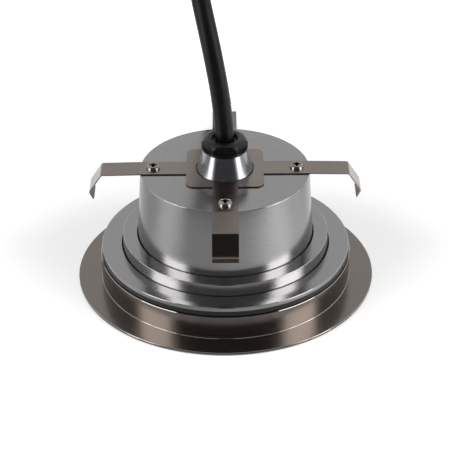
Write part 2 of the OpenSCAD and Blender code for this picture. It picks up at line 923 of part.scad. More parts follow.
// Ring of points square to the route at point i
function route_ring(route, i, r, sides) =
    let (
        before = route[max(i - 1, 0)],
        after = route[min(i + 1, len(route) - 1)],
        ahead = unit(after - before),
        aside = unit([1, 0, 0] - ahead[0] * ahead),
        up = cross(ahead, aside)
    )
    [for (k = [0:sides - 1])
        route[i] + r * (cos(360 * k / sides) * aside + sin(360 * k / sides) * up)];

// A round tube along a route of points
module swept_tube(route, r, sides) {
    n = len(route);
    points = [for (i = [0:n - 1]) each route_ring(route, i, r, sides)];
    walls = [for (i = [0:n - 2])
        for (k = [0:sides - 1])
            let (a = i * sides + k, b = i * sides + (k + 1) % sides)
            each [[a, a + sides, b], [b, a + sides, b + sides]]];
    start_cap = [for (k = [1:sides - 2]) [0, k, k + 1]];
    last = (n - 1) * sides;
    end_cap = [for (k = [1:sides - 2]) [last, last + k + 1, last + k]];
    polyhedron(points = points, faces = concat(walls, start_cap, end_cap), convexity = 10);
}

// Rubber-sheathed supply cable, from inside the gland to its free end
module cable() {
    color("#1b1b1c")
        swept_tube([for (p = cable_route) risen(p)], cable_r, cable_sides);
}

// Places its children at the start of free core i, pointing along it
module at_core(i) {
    translate(cable_end + [core_places[i][0], 0, core_places[i][1]])
        rotate([-90 + core_slope[i], 0, core_spread[i]])
            children();
}

// The three insulated cores laid bare at the cable's free end
module free_cores() {
    for (i = [0:2])
        color(core_colours[i])
            at_core(i)
                translate([0, 0, loose])
                    cylinder(r = core_r, h = core_free_len - loose);
}

// Crimped ferrules on the ends of the cores
module core_ferrules() {
    for (i = [0:2])
        at_core(i)
            translate([0, 0, core_free_len]) {
                color("#d8d8d8")
                    cylinder(r = ferrule_tube_r, h = ferrule_tube_len);
                color("#2b2b2b")
                    cylinder(r = ferrule_collar_r, h = ferrule_collar_len);
            }
}

trim_flange();
trim_sleeve();
trim_screws();
face_glass();
glass_gasket();
body_seal();
housing();
heat_spreader();
light_board();
emitters();
lens_plate();
engine_screws();
driver_board();
driver_screws();
transformer();
capacitors();
choke();
terminal_block();
light_leads();
supply_cores();
gland_body();
gland_ring();
lock_nut();
gland_seal();
gland_nut();
spring_plate();
spring_arm_right();
spring_arm_back();
spring_arm_left();
spring_arm_front();
spring_screws();
cable();
free_cores();
core_ferrules();
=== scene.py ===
"""Recessed ground light lying on its face: finishes, supply lead, fasteners, studio and camera."""

import logging
import math
from collections.abc import Mapping, Sequence
from dataclasses import dataclass, field
from enum import Enum
from typing import Any, ClassVar

import bmesh
import bpy
from mathutils import Euler, Matrix, Vector


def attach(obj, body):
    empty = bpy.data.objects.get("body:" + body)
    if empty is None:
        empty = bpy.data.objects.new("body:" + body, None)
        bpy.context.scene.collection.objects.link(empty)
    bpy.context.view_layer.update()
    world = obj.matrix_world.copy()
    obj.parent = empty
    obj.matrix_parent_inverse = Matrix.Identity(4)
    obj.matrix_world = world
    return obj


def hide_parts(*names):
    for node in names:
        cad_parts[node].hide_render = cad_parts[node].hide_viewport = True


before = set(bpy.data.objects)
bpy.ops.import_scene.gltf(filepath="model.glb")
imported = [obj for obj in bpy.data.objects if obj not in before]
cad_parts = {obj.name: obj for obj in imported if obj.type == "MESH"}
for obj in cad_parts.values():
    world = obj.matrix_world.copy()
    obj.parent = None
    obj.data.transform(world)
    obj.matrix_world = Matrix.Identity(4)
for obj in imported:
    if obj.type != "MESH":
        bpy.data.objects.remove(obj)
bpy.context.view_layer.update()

LOG = logging.getLogger("ground_light")
MM = 0.001
MAIN_BODY = "light"
TUBE_STEPS = 8

Material = bpy.types.Material
Node = bpy.types.Node
Object = bpy.types.Object
Socket = bpy.types.NodeSocket
Tree = bpy.types.NodeTree
Colour = tuple[float, float, float, float]
Span = tuple[float, float]
Profile = tuple[Span, Span]
Point = tuple[float, float, float]
Form = bmesh.types.BMesh


def mm(*lengths: float) -> Vector:
    """A point given in millimetres, in metres."""
    return Vector(lengths) * MM


def circle(radius: float, count: int) -> list[Span]:
    """Points round a circle, from the right and against the clock."""
    turns = (math.tau * i / count for i in range(count))
    return [(radius * math.cos(turn), radius * math.sin(turn)) for turn in turns]


def linear(colour: str) -> Colour:
    """Turns an sRGB colour into the linear one that shaders take.

    Args:
        colour: Hex form, such as "#8a837b".

    Returns:
        Red, green, blue and a full alpha.
    """
    shares = [int(colour[i : i + 2], 16) / 255 for i in (1, 3, 5)]
    # The curve of the sRGB standard: straight near black, a power above
    red, green, blue = (s / 12.92 if s <= 0.04045 else ((s + 0.055) / 1.055) ** 2.4 for s in shares)
    return red, green, blue, 1.0


def new_tree(owner: Material | bpy.types.World) -> Tree:
    """Gives a new material or world an empty node tree.

    Args:
        owner: The material or world.

    Returns:
        The tree.
    """
    owner.use_nodes = True
    owner.node_tree.nodes.clear()
    return owner.node_tree


def add_node(
    tree: Tree, kind: str, inputs: Mapping[str | int, Any] | None = None, **settings: Any
) -> Node:
    """Adds one shader node with its settings and links.

    Args:
        tree: Node tree that takes the node.
        kind: Type name of the node, without the ShaderNode in front.
        inputs: Socket name or number, with its value or the output socket that feeds it.
        **settings: Fields of the node.

    Returns:
        The new node.
    """
    node = tree.nodes.new(f"ShaderNode{kind}")
    for name, value in settings.items():
        setattr(node, name, value)
    for socket, value in (inputs or {}).items():
        if isinstance(value, Socket):
            tree.links.new(value, node.inputs[socket])
        else:
            node.inputs[socket].default_value = value
    return node


def maths(tree: Tree, operation: str, *values: float | Socket) -> Socket:
    """Adds a sum on plain numbers, and returns its result."""
    inputs = dict(enumerate(values))
    return add_node(tree, "Math", inputs, operation=operation).outputs[0]


def mix_colours(tree: Tree, share: Socket, first: Any, second: Any) -> Socket:
    """Adds a mix of two colours, all of it the first at a share of 0 and the second at 1."""
    inputs = {0: share, 6: first, 7: second}
    return add_node(tree, "Mix", inputs, data_type="RGBA").outputs[2]


def mix_numbers(tree: Tree, share: Socket, first: Any, second: Any) -> Socket:
    """Adds a mix of two numbers, by the same rule."""
    inputs = {0: share, 2: first, 3: second}
    return add_node(tree, "Mix", inputs, data_type="FLOAT").outputs[0]


def noise(tree: Tree, place: Socket, size_mm: float, detail: float = 2.0) -> Socket:
    """Adds soft noise from 0 to 1, with patches of a given width and finer layers of detail."""
    inputs = {"Vector": place, "Scale": 1 / (size_mm * MM), "Detail": detail}
    return add_node(tree, "TexNoise", inputs).outputs[0]


def leaning(tree: Tree, slopes: Span) -> Socket:
    """Adds a value that is 1 where a face leans.

    Args:
        tree: Node tree that takes it.
        slopes: Least and most upward share of the face's direction, which is 0 on a wall and 1 on
            a flat face.

    Returns:
        The value, 0 or 1.
    """
    low, high = slopes
    normal = add_node(tree, "NewGeometry").outputs["Normal"]
    share = maths(tree, "ABSOLUTE", add_node(tree, "SeparateXYZ", {0: normal}).outputs[2])
    return maths(tree, "COMPARE", share, (low + high) / 2, (high - low) / 2)


@dataclass(frozen=True)
class Finish:
    """A plain even finish, and what all finishes have in common.

    Its colour varies a little from place to place, as handling and moulding leave it.
    """

    name: str
    slot: str
    colour: str
    roughness: float = 0.5
    metallic: float = 0.0
    mottle: float = 0.06
    mottle_mm: float = 6.0
    extra: tuple[tuple[str, Any], ...] = ()

    def material(self) -> Material:
        """Makes the finish's material at its first use.

        Returns:
            The material.
        """
        made = bpy.data.materials.get(self.name)
        if made is None:
            made = bpy.data.materials.new(self.name)
            tree = new_tree(made)
            look = {"Base Color": linear(self.colour), "Metallic": self.metallic}
            look |= {"Roughness": self.roughness, **dict(self.extra)}
            shader = add_node(tree, "BsdfPrincipled", look)
            add_node(tree, "OutputMaterial", {"Surface": shader.outputs[0]})
            self.pattern(shader)
        return made

    def pattern(self, shader: Node) -> None:
        """Adds the surface's unevenness, here in its colour alone.

        Args:
            shader: The material's principled shader.
        """
        tree = shader.id_data
        place = add_node(tree, "TexCoord").outputs["Object"]
        self.tint(shader, noise(tree, place, self.mottle_mm))

    def tint(self, shader: Node, value: Socket) -> Socket:
        """Lets a value from 0 to 1 darken and lighten the colour by the finish's mottle.

        Args:
            shader: The material's principled shader.
            value: What darkens it at 0 and lightens it at 1.

        Returns:
            The colour.
        """
        *base, alpha = linear(self.colour)
        dark, light = (
            (*(min(1.0, c * share) for c in base), alpha)
            for share in (1 - self.mottle, 1 + self.mottle)
        )
        colour = mix_colours(shader.id_data, value, dark, light)
        shader.id_data.links.new(colour, shader.inputs["Base Color"])
        return colour

    def rough(self, shader: Node, value: Socket, span: float) -> Socket:
        """Lets a value from 0 to 1 move the roughness by up to half a span each way.

        Args:
            shader: The material's principled shader.
            value: What makes it smoother at 0 and rougher at 1.
            span: Difference between the two.

        Returns:
            The roughness.
        """
        tree = shader.id_data
        ends = {"To Min": self.roughness - span / 2, "To Max": self.roughness + span / 2}
        ranged = add_node(tree, "MapRange", {"Value": value, **ends}).outputs[0]
        tree.links.new(ranged, shader.inputs["Roughness"])
        return ranged

    def bump(self, shader: Node, height: Socket, depth_mm: float) -> None:
        """Raises and lowers the surface.

        Args:
            shader: The material's principled shader.
            height: Height from 0 to 1.
            depth_mm: What a height of 1 stands for.
        """
        inputs = {"Height": height, "Strength": 1.0, "Distance": depth_mm * MM}
        bump = add_node(shader.id_data, "Bump", inputs)
        shader.id_data.links.new(bump.outputs[0], shader.inputs["Normal"])


@dataclass(frozen=True)
class TurnedMetal(Finish):
    """Metal turned on a lathe, so fine lines run round its axis on walls and faces alike.

    The lines break up every few millimetres, and they draw a lamp's reflection out into a band.
    Rims that the tool rounded off are bright and smooth. The grooves that it left, given as radius
    and height of their middle, are painted dark as shade.
    """

    # Real lines are about 0.1 mm apart, too fine to show, so they are drawn coarser
    line_mm: float = 0.8
    line_depth_mm: float = 0.002
    line_run: float = 5.0
    rough_span: float = 0.06
    rim_colour: str = "#a6a4a1"
    rim_roughness: float = 0.05
    rim_slopes: Span = (0.18, 0.94)
    grooves_mm: tuple[Span, ...] = ()
    # How far the painted shade reaches from a groove's middle, in radius and in height
    groove_shade_reach_mm: Span = (0.26, 0.21)
    # Painted shade in the grooves, which stands in for the shadow in their hollows
    groove_shade_colour: str = "#404040"

    def pattern(self, shader: Node) -> None:
        """Adds lines round the axis, then bright rims and grooves painted dark as shade.

        Args:
            shader: The material's principled shader.
        """
        tree = shader.id_data
        place = add_node(tree, "TexCoord").outputs["Object"]
        x, y, height = add_node(tree, "SeparateXYZ", {0: place}).outputs
        flat = {0: add_node(tree, "CombineXYZ", {0: x, 1: y}).outputs[0]}
        radius = add_node(tree, "VectorMath", flat, operation="LENGTH").outputs["Value"]
        heading = add_node(tree, "VectorMath", flat, operation="NORMALIZE").outputs[0]
        lines = self.lines(tree, heading, maths(tree, "ADD", radius, height))
        colour = self.tint(shader, lines)
        rough = self.rough(shader, lines, self.rough_span)
        self.bump(shader, lines, self.line_depth_mm)
        rim = leaning(tree, self.rim_slopes)
        colour = mix_colours(tree, rim, colour, linear(self.rim_colour))
        # Paints shade into each groove
        for groove in self.grooves_mm:
            beside, level = (
                maths(tree, "COMPARE", at, middle * MM, reach * MM)
                for at, middle, reach in zip((radius, height), groove, self.groove_shade_reach_mm)
            )
            inside = maths(tree, "MULTIPLY", beside, level)
            colour = mix_colours(tree, inside, colour, linear(self.groove_shade_colour))
        tree.links.new(colour, shader.inputs["Base Color"])
        rough = mix_numbers(tree, rim, rough, self.rim_roughness)
        tree.links.new(rough, shader.inputs["Roughness"])

    def lines(self, tree: Tree, heading: Socket, along: Socket) -> Socket:
        """Adds the turned lines.

        Args:
            tree: The material's nodes.
            heading: Direction from the axis.
            along: Way of the tool, out over the faces and up the walls, in metres.

        Returns:
            Their value, 0 to 1.
        """
        across = maths(tree, "MULTIPLY", along, 1 / (self.line_mm * MM))
        stretch = {0: heading, 1: (self.line_run,) * 3}
        run = add_node(tree, "VectorMath", stretch, operation="MULTIPLY").outputs[0]
        inputs = {"Vector": run, "W": across, "Scale": 1.0, "Detail": 2.0}
        return add_node(tree, "TexNoise", inputs, noise_dimensions="4D").outputs[0]


class Grain(Enum):
    """The way in which a sheet's rolling marks run."""

    ALONG_X = (0.04, 1.0, 1.0)
    ALONG_Y = (1.0, 0.04, 1.0)


@dataclass(frozen=True)
class RolledSheet(Finish):
    """Cold-rolled sheet, with long faint marks in the rolling direction and a satin face."""

    grain: Grain = Grain.ALONG_X
    # Real marks are under 0.1 mm wide, too fine to show, so they are drawn coarser
    mark_mm: float = 0.5
    mark_depth_mm: float = 0.003
    detail: float = 3.0
    rough_span: float = 0.12
    # Height above which handling dulled the face, and by how much; nothing is that high by default
    dull_above_mm: float = 1000.0
    dulling: float = 0.22
    # Sheared edges: rough as cut, and painted dark as the shade along the sheet's edge
    sheared_shaded_edges: bool = False
    edge_slopes: Span = (0.0, 0.5)
    edge_shade_colour: str = "#35322f"
    edge_roughness: float = 0.5

    def pattern(self, shader: Node) -> None:
        """Adds marks drawn out along the grain, over broad faint clouds.

        Args:
            shader: The material's principled shader.
        """
        tree = shader.id_data
        place = add_node(tree, "TexCoord").outputs["Object"]
        stretch = {0: place, 1: self.grain.value}
        drawn = add_node(tree, "VectorMath", stretch, operation="MULTIPLY").outputs[0]
        marks = noise(tree, drawn, self.mark_mm, self.detail)
        clouds = noise(tree, place, self.mottle_mm, self.detail)
        mean = maths(tree, "MULTIPLY", maths(tree, "ADD", marks, clouds), 0.5)
        colour = self.tint(shader, mean)
        rough = self.rough(shader, marks, self.rough_span)
        self.bump(shader, marks, self.mark_depth_mm)
        height = add_node(tree, "SeparateXYZ", {0: place}).outputs[2]
        above = maths(tree, "GREATER_THAN", height, self.dull_above_mm * MM)
        rough = maths(tree, "MULTIPLY_ADD", above, self.dulling, rough)
        # Rough sheared edges, with their colour painted dark as shade
        if self.sheared_shaded_edges:
            edge = leaning(tree, self.edge_slopes)
            colour = mix_colours(tree, edge, colour, linear(self.edge_shade_colour))
            tree.links.new(colour, shader.inputs["Base Color"])
            rough = mix_numbers(tree, edge, rough, self.edge_roughness)
        tree.links.new(rough, shader.inputs["Roughness"])


@dataclass(frozen=True)
class GrainedPolymer(Finish):
    """Moulded or extruded plastic or rubber with a fine even grain, which softens its shine."""

    # Real grain is under 0.1 mm, too fine to show, so it is drawn coarser
    grain_mm: float = 0.4
    grain_depth_mm: float = 0.006
    grain_detail: float = 3.0
    wear_detail: float = 4.0
    rough_span: float = 0.12

    def pattern(self, shader: Node) -> None:
        """Adds grain to the height, and handling marks to colour and roughness.

        Args:
            shader: The material's principled shader.
        """
        tree = shader.id_data
        place = add_node(tree, "TexCoord").outputs["Object"]
        wear = noise(tree, place, self.mottle_mm, self.wear_detail)
        self.tint(shader, wear)
        self.rough(shader, wear, self.rough_span)
        grain = noise(tree, place, self.grain_mm, self.grain_detail)
        self.bump(shader, grain, self.grain_depth_mm)


@dataclass(frozen=True)
class StripedPolymer(GrainedPolymer):
    """Insulation extruded in two colours, with stripes that run along the core."""

    stripe_colour: str = "#d9c42a"
    stripes: float = 2.0
    stripe_share: float = 0.36

    def pattern(self, shader: Node) -> None:
        """Adds the stripes to the grain and the handling marks.

        Args:
            shader: The material's principled shader.
        """
        super().pattern(shader)
        tree = shader.id_data
        ground = shader.inputs["Base Color"].links[0].from_socket
        place = add_node(tree, "TexCoord").outputs["UV"]
        around = add_node(tree, "SeparateXYZ", {0: place}).outputs[1]
        phase = maths(tree, "FRACT", maths(tree, "MULTIPLY", around, self.stripes))
        inside = maths(tree, "LESS_THAN", phase, self.stripe_share)
        colour = mix_colours(tree, inside, ground, linear(self.stripe_colour))
        tree.links.new(colour, shader.inputs["Base Color"])


# Brushed stainless steel, 1.4301: a warm grey whose round brushing draws lamps out into soft bands
TRIM_STEEL = TurnedMetal(
    "brushed_stainless_steel", "stainless_trim", "#6e6864",
    roughness=0.2, metallic=1.0, mottle=0.09, line_depth_mm=0.003, rim_colour="#a19c96",
)
# Turned aluminium casting, degreased: a neutral grey, with tool lines that catch light at each rim
# and painted shade in the two grooves at the feet of its steps
HOUSING_ALUMINIUM = TurnedMetal(
    "turned_cast_aluminium", "cast_aluminium", "#868585",
    roughness=0.19, metallic=0.95, mottle=0.1, grooves_mm=((45.3, 15.8), (38.45, 20.9)),
)
# Polished aluminium bar: clean narrow streaks on the gland's cone, whose slope is not a rim's
GLAND_ALUMINIUM = TurnedMetal(
    "polished_aluminium_bar", "polished_gland", "#8d8e92",
    roughness=0.2, metallic=1.0, mottle=0.05, rough_span=0.05, rim_slopes=(0.45, 0.94),
)
# Mill-finish aluminium sheet: pale and dull, hidden inside the housing
SPREADER_ALUMINIUM = RolledSheet(
    "mill_finish_aluminium", "sheet_aluminium", "#aeafb1", roughness=0.42, metallic=1.0,
)
# Cold-rolled spring steel, flat as it left the mill: warm grey that mirrors the gland darkly, with
# rough sheared edges that are also painted dark as shade
SPRING_STEEL = RolledSheet(
    "cold_rolled_spring_steel", "spring_steel", "#776f69",
    roughness=0.24, metallic=1.0, mottle=0.1, mottle_mm=9.0, grain=Grain.ALONG_Y,
    rough_span=0.08, mark_mm=0.35, mark_depth_mm=0.01, sheared_shaded_edges=True,
)
# The same steel tumbled after bending, one finish for each way of its grain: an even satin grey,
# duller on top where the arms are handled
BENT_STEEL = {
    grain: RolledSheet(
        f"tumbled_spring_steel_{grain.name.lower()}", "spring_steel", "#7a726c",
        roughness=0.2, metallic=1.0, mottle=0.1, mottle_mm=9.0, grain=grain,
        rough_span=0.08, mark_mm=0.25, mark_depth_mm=0.012, dull_above_mm=51.5,
    )
    for grain in Grain
}
# Zinc-plated steel, bright: small hard sparkles on the screw heads
SCREW_STEEL = Finish(
    "bright_zinc_plated_steel", "screw_steel", "#8a8681",
    roughness=0.1, metallic=1.0, mottle=0.08, mottle_mm=1.5,
)
# Cross recess, painted nearly black as its shade, so the cross reads at a distance
RECESS_SHADE_STEEL = Finish(
    "painted_recess_shade", "screw_steel", "#1c1b1a",
    roughness=0.4, metallic=1.0, mottle=0.1, mottle_mm=0.5,
)
# Tinned copper tube, pressed on to the cores: a dull silver
TINNED_COPPER = Finish(
    "tinned_copper", "tinned_copper", "#76756f",
    roughness=0.34, metallic=1.0, mottle=0.05, mottle_mm=1.0,
)
# Extruded chloroprene rubber: near black with a satin sheen and a faint bloom
LEAD_RUBBER = GrainedPolymer(
    "extruded_chloroprene_rubber", "cable_rubber", "#0b0b0c",
    roughness=0.42, mottle=0.3, mottle_mm=3.0, grain_mm=0.6, grain_depth_mm=0.012,
    extra=(("Specular IOR Level", 0.2),),
)
# Moulded black polyamide: soft highlights broken by a fine grain
NUT_POLYAMIDE = GrainedPolymer(
    "moulded_black_polyamide", "black_polyamide", "#0b0b0c",
    roughness=0.34, mottle=0.2, mottle_mm=2.0, grain_mm=0.35,
    extra=(("Specular IOR Level", 0.3),),
)
# Pressed silicone rubber: flat black that holds the joints dark
SEAL_SILICONE = GrainedPolymer(
    "pressed_silicone_rubber", "silicone_seal", "#151516", roughness=0.6, mottle=0.15,
)
# Pressed nitrile rubber, hidden in the gland: flat black with a little shine
GLAND_RUBBER = GrainedPolymer(
    "pressed_nitrile_rubber", "gland_rubber", "#121213", roughness=0.55, mottle=0.15,
)
# Toughened float glass: clear with a faint green in its edge
FACE_GLASS = Finish(
    "toughened_float_glass", "toughened_glass", "#e9f3f0",
    roughness=0.02, mottle=0.01, extra=(("Transmission Weight", 1.0), ("IOR", 1.52)),
)
# Moulded clear acrylic: lenses that shine like water
LENS_ACRYLIC = Finish(
    "moulded_clear_acrylic", "clear_acrylic", "#f3f6f7",
    roughness=0.04, mottle=0.01, extra=(("Transmission Weight", 0.95), ("IOR", 1.49)),
)
# White solder mask on an aluminium core: throws stray light forward
BOARD_WHITE = GrainedPolymer(
    "white_solder_mask", "white_board", "#e4e6e2",
    roughness=0.35, mottle=0.03, grain_depth_mm=0.002,
)
# Green solder mask over woven glass and resin: a deep green with a clean shine
BOARD_GREEN = GrainedPolymer(
    "green_solder_mask", "green_board", "#1f5233",
    roughness=0.3, mottle=0.15, mottle_mm=3.0, grain_depth_mm=0.003,
)
# Silicone filled with yellow phosphor, cast over each chip: a warm yellow dot
PHOSPHOR = GrainedPolymer(
    "cast_phosphor_silicone", "emitter_phosphor", "#e2c94f",
    roughness=0.4, mottle=0.06, mottle_mm=1.0,
)
# Polyester winding tape: glossy yellow round the transformer
WINDING_TAPE = GrainedPolymer(
    "polyester_winding_tape", "winding_tape", "#c09a2a",
    roughness=0.3, mottle=0.1, mottle_mm=2.0,
)
# Shrink sleeve of an electrolytic capacitor, with no print on it: dark blue with a long highlight
SHRINK_SLEEVE = GrainedPolymer(
    "dark_shrink_sleeve", "capacitor_sleeve", "#222c36", roughness=0.28, mottle=0.08,
)
# Copper wire under clear enamel, wound close: a copper sheen in ridges
ENAMELLED_WIRE = GrainedPolymer(
    "enamelled_copper_wire", "enamelled_copper", "#9c5a2c",
    roughness=0.32, metallic=0.6, mottle=0.15, grain_mm=0.8, grain_depth_mm=0.05,
)
# Moulded ivory polyamide: pale and plain, for the terminals
IVORY_POLYAMIDE = GrainedPolymer(
    "moulded_ivory_polyamide", "ivory_plastic", "#d3d0c3", roughness=0.45, mottle=0.04,
)
# Extruded soft PVC in the colours of wiring: the only strong colours of the light
RED_INSULATION = GrainedPolymer(
    "red_wire_insulation", "red_insulation", "#a5262a", roughness=0.38, mottle=0.06,
)
BROWN_INSULATION = GrainedPolymer(
    "brown_core_insulation", "core_insulation", "#5d3c26", roughness=0.4, mottle=0.08,
)
BLUE_INSULATION = GrainedPolymer(
    "blue_core_insulation", "core_insulation", "#27569c", roughness=0.4, mottle=0.08,
)
EARTH_INSULATION = StripedPolymer(
    "green_and_yellow_core_insulation", "core_insulation", "#4f8f38", roughness=0.4, mottle=0.08,
)


def dress(node: str, finish: Finish) -> None:
    """Gives a solid of the frame its finish.

    Args:
        node: Name of the solid.
        finish: What it is made of.
    """
    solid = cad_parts[node]
    solid.data.materials.clear()
    solid.data.materials.append(finish.material())
    LOG.info("dressed %s in %s", node, finish.name)


def new_object(name: str, data: bpy.types.ID) -> Object:
    """Makes an object and puts it into the scene.

    Args:
        name: Its name.
        data: Its mesh, curve, lamp or camera.

    Returns:
        The object.
    """
    made = bpy.data.objects.new(name, data)
    bpy.context.scene.collection.objects.link(made)
    return made


def mesh_data(name: str, mesh: Form, material: Material) -> bpy.types.Mesh:
    """Stores a built mesh with its material.

    Args:
        name: Name of the mesh.
        mesh: The built mesh, which is used up.
        material: Its first material.

    Returns:
        The stored mesh.
    """
    data = bpy.data.meshes.new(name)
    mesh.to_mesh(data)
    mesh.free()
    data.materials.append(material)
    return data


def place_piece(name: str, data: bpy.types.Mesh | bpy.types.Curve, finish: Finish) -> Object:
    """Makes a piece that rides on the main body.

    Args:
        name: Name of the piece.
        data: Its mesh or curve, which has its material.
        finish: What it is made of.

    Returns:
        The piece.
    """
    piece = new_object(name, data)
    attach(piece, MAIN_BODY)
    LOG.info("made %s in %s", name, finish.name)
    return piece


def place_mesh(name: str, mesh: Form, finish: Finish, crease: float) -> Object:
    """Makes a smooth piece of a built mesh.

    Args:
        name: Name of the piece.
        mesh: Its mesh, which is used up.
        finish: What it is made of.
        crease: Angle between faces above which their edge stays sharp, in degrees.

    Returns:
        The piece.
    """
    bmesh.ops.recalc_face_normals(mesh, faces=mesh.faces)
    piece = place_piece(name, mesh_data(name, mesh, finish.material()), finish)
    piece.data.shade_smooth()
    piece.data.set_sharp_from_angle(angle=math.radians(crease))
    return piece


def tube(
    name: str, points: Sequence[Vector], diameter: float, finish: Finish, sides: int
) -> Object:
    """Makes a round tube along points, as one curve.

    Args:
        name: Name of the piece.
        points: Its middle line, in metres.
        diameter: Outside diameter in metres.
        finish: What it is made of.
        sides: Steps in half the tube's roundness.

    Returns:
        The piece.
    """
    curve = bpy.data.curves.new(name, "CURVE")
    curve.dimensions = "3D"
    curve.bevel_depth = diameter / 2
    curve.bevel_resolution = sides
    curve.resolution_u = TUBE_STEPS
    curve.use_fill_caps = True
    spline = curve.splines.new("BEZIER")
    spline.bezier_points.add(len(points) - 1)
    for knot, point in zip(spline.bezier_points, points):
        knot.co = point
        knot.handle_left_type = knot.handle_right_type = "AUTO"
    curve.materials.append(finish.material())
    return place_piece(name, curve, finish)


@dataclass
class PhotoCamera:
    """Camera at the photograph's place: in front, above, and turned a little about its own axis."""

    focal_px: float = 1605.27
    frame_px: float = 450.0
    sensor_mm: float = 36.0
    near_mm: float = 10.0
    elevation: float = 31.506
    roll: float = -0.423
    distance_mm: float = 702.85
    aim_mm: Point = (-0.135, 0.0, 23.2)

    def build(self) -> None:
        """Makes the camera and hands it to the scene."""
        data = bpy.data.cameras.new("photo_camera")
        data.sensor_width = self.sensor_mm
        data.lens = self.focal_px / self.frame_px * self.sensor_mm
        data.clip_start = self.near_mm * MM
        camera = new_object("photo_camera", data)
        tilt = math.radians(self.elevation)
        back = Vector((0, -math.cos(tilt), math.sin(tilt)))
        camera.location = mm(*self.aim_mm) + back * self.distance_mm * MM
        roll = Matrix.Rotation(math.radians(self.roll), 3, "Z")
        turn = (-back).to_track_quat("-Z", "Y").to_matrix() @ roll
        camera.rotation_euler = turn.to_euler()
        bpy.context.scene.camera = camera


@dataclass
class SupplyLead:
    """Rubber-sheathed three-core lead, from inside the gland to its bare cores."""

    diameter_mm: float = 8.0
    sheath_sides: int = 10
    exit_mm: Point = (0.0, 0.0, 67.0)
    core_mm: float = 2.3
    core_length_mm: float = 24.0
    core_sides: int = 5
    core_steps: int = 4
    # The same route as the solid's, point by point
    ROUTE_MM: ClassVar[tuple[Point, ...]] = (
        (0, 0, 43), (0, 0, 50), (0, 0, 58), (0, 0, 66), (-0.4, 0, 74), (-1.2, 0, 82),
        (-2.2, 0, 90), (-3.5, 0.3, 98), (-5, 2, 106), (-6.8, 5.3, 114), (-8.7, 10.4, 121.5),
        (-10.5, 17.4, 128), (-12, 25.6, 132.4), (-13, 34.6, 134.4), (-13.6, 44, 133.4),
        (-13.6, 52.8, 129.6), (-13.2, 60.2, 123.4), (-12.3, 66, 115.4), (-11.2, 69.8, 106.4),
        (-9.6, 71.8, 96), (-7.8, 72.4, 86), (-6, 72.4, 76), (-4.4, 72.6, 66), (-3, 73, 56),
        (-1.9, 74.2, 46), (-1.2, 77, 36.2), (-0.8, 81.8, 27), (-0.6, 88.6, 18.4),
        (-0.6, 97, 11.4), (-0.8, 106.6, 6.6), (-1, 116, 4.4), (-1.2, 124, 4), (-1.2, 132, 4),
    )
    # Each core's name, its start across the sheath's end, its slope and spread, and its finish
    CORES: ClassVar[tuple[tuple[str, Span, float, float, Finish], ...]] = (
        ("core_brown", (0.0, 1.4), -3.0, 0.0, BROWN_INSULATION),
        ("core_blue", (-1.3, -0.9), -2.0, 5.0, BLUE_INSULATION),
        ("core_earth", (1.3, -0.9), -1.5, -5.0, EARTH_INSULATION),
    )

    def build(self) -> None:
        route = [mm(*point) for point in self.ROUTE_MM]
        sheath = tube("lead_sheath", route, self.diameter_mm * MM, LEAD_RUBBER, self.sheath_sides)
        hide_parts("cable")
        cores = [self.core(*spec) for spec in self.CORES]
        dress("core_ferrules", TINNED_COPPER)

    def core(self, name: str, place: Span, slope: float, spread: float, finish: Finish) -> Object:
        """Makes one bare core at the lead's far end.

        Args:
            name: Name of the piece.
            place: Its start across the sheath's end, in mm.
            slope: How far it dips, in degrees.
            spread: How far it turns aside, in degrees.
            finish: Its insulation.

        Returns:
            The core.
        """
        aside, up = place
        start = Vector(self.ROUTE_MM[-1]) + Vector((aside, 0, up))
        turn = Euler((math.radians(slope - 90), 0, math.radians(spread)), "XYZ").to_matrix()
        reach = turn @ Vector((0, 0, 1)) * self.core_length_mm
        steps = range(self.core_steps + 1)
        points = [(start + reach * step / self.core_steps) * MM for step in steps]
        core = tube(name, points, self.core_mm * MM, finish, self.core_sides)
        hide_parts("free_cores")
        return core


@dataclass
class DressedSolids:
    """A sub-assembly with a table of its solids and what each is made of."""

    FINISHES: ClassVar[Mapping[str, Finish]] = {}

    def build(self) -> None:
        """Dresses each solid."""
        for node, finish in self.FINISHES.items():
            dress(node, finish)


@dataclass
class TrimAndGlass(DressedSolids):
    """Stainless flange and sleeve, with the glass and its seals."""

    FINISHES: ClassVar[Mapping[str, Finish]] = {
        "trim_flange": TRIM_STEEL,
        "trim_sleeve": TRIM_STEEL,
        "trim_screws": SCREW_STEEL,
        "face_glass": FACE_GLASS,
        "glass_gasket": SEAL_SILICONE,
        "body_seal": SEAL_SILICONE,
    }


@dataclass
class HousingAndInside(DressedSolids):
    """Turned housing, and the light engine, driver and wiring inside it."""

    FINISHES: ClassVar[Mapping[str, Finish]] = {
        "housing": HOUSING_ALUMINIUM,
        "heat_spreader": SPREADER_ALUMINIUM,
        "light_board": BOARD_WHITE,
        "emitters": PHOSPHOR,
        "lens_plate": LENS_ACRYLIC,
        "engine_screws": SCREW_STEEL,
        "driver_board": BOARD_GREEN,
        "driver_screws": SCREW_STEEL,
        "transformer": WINDING_TAPE,
        "capacitors": SHRINK_SLEEVE,
        "choke": ENAMELLED_WIRE,
        "terminal_block": IVORY_POLYAMIDE,
        "light_leads": RED_INSULATION,
        "supply_cores": BROWN_INSULATION,
    }


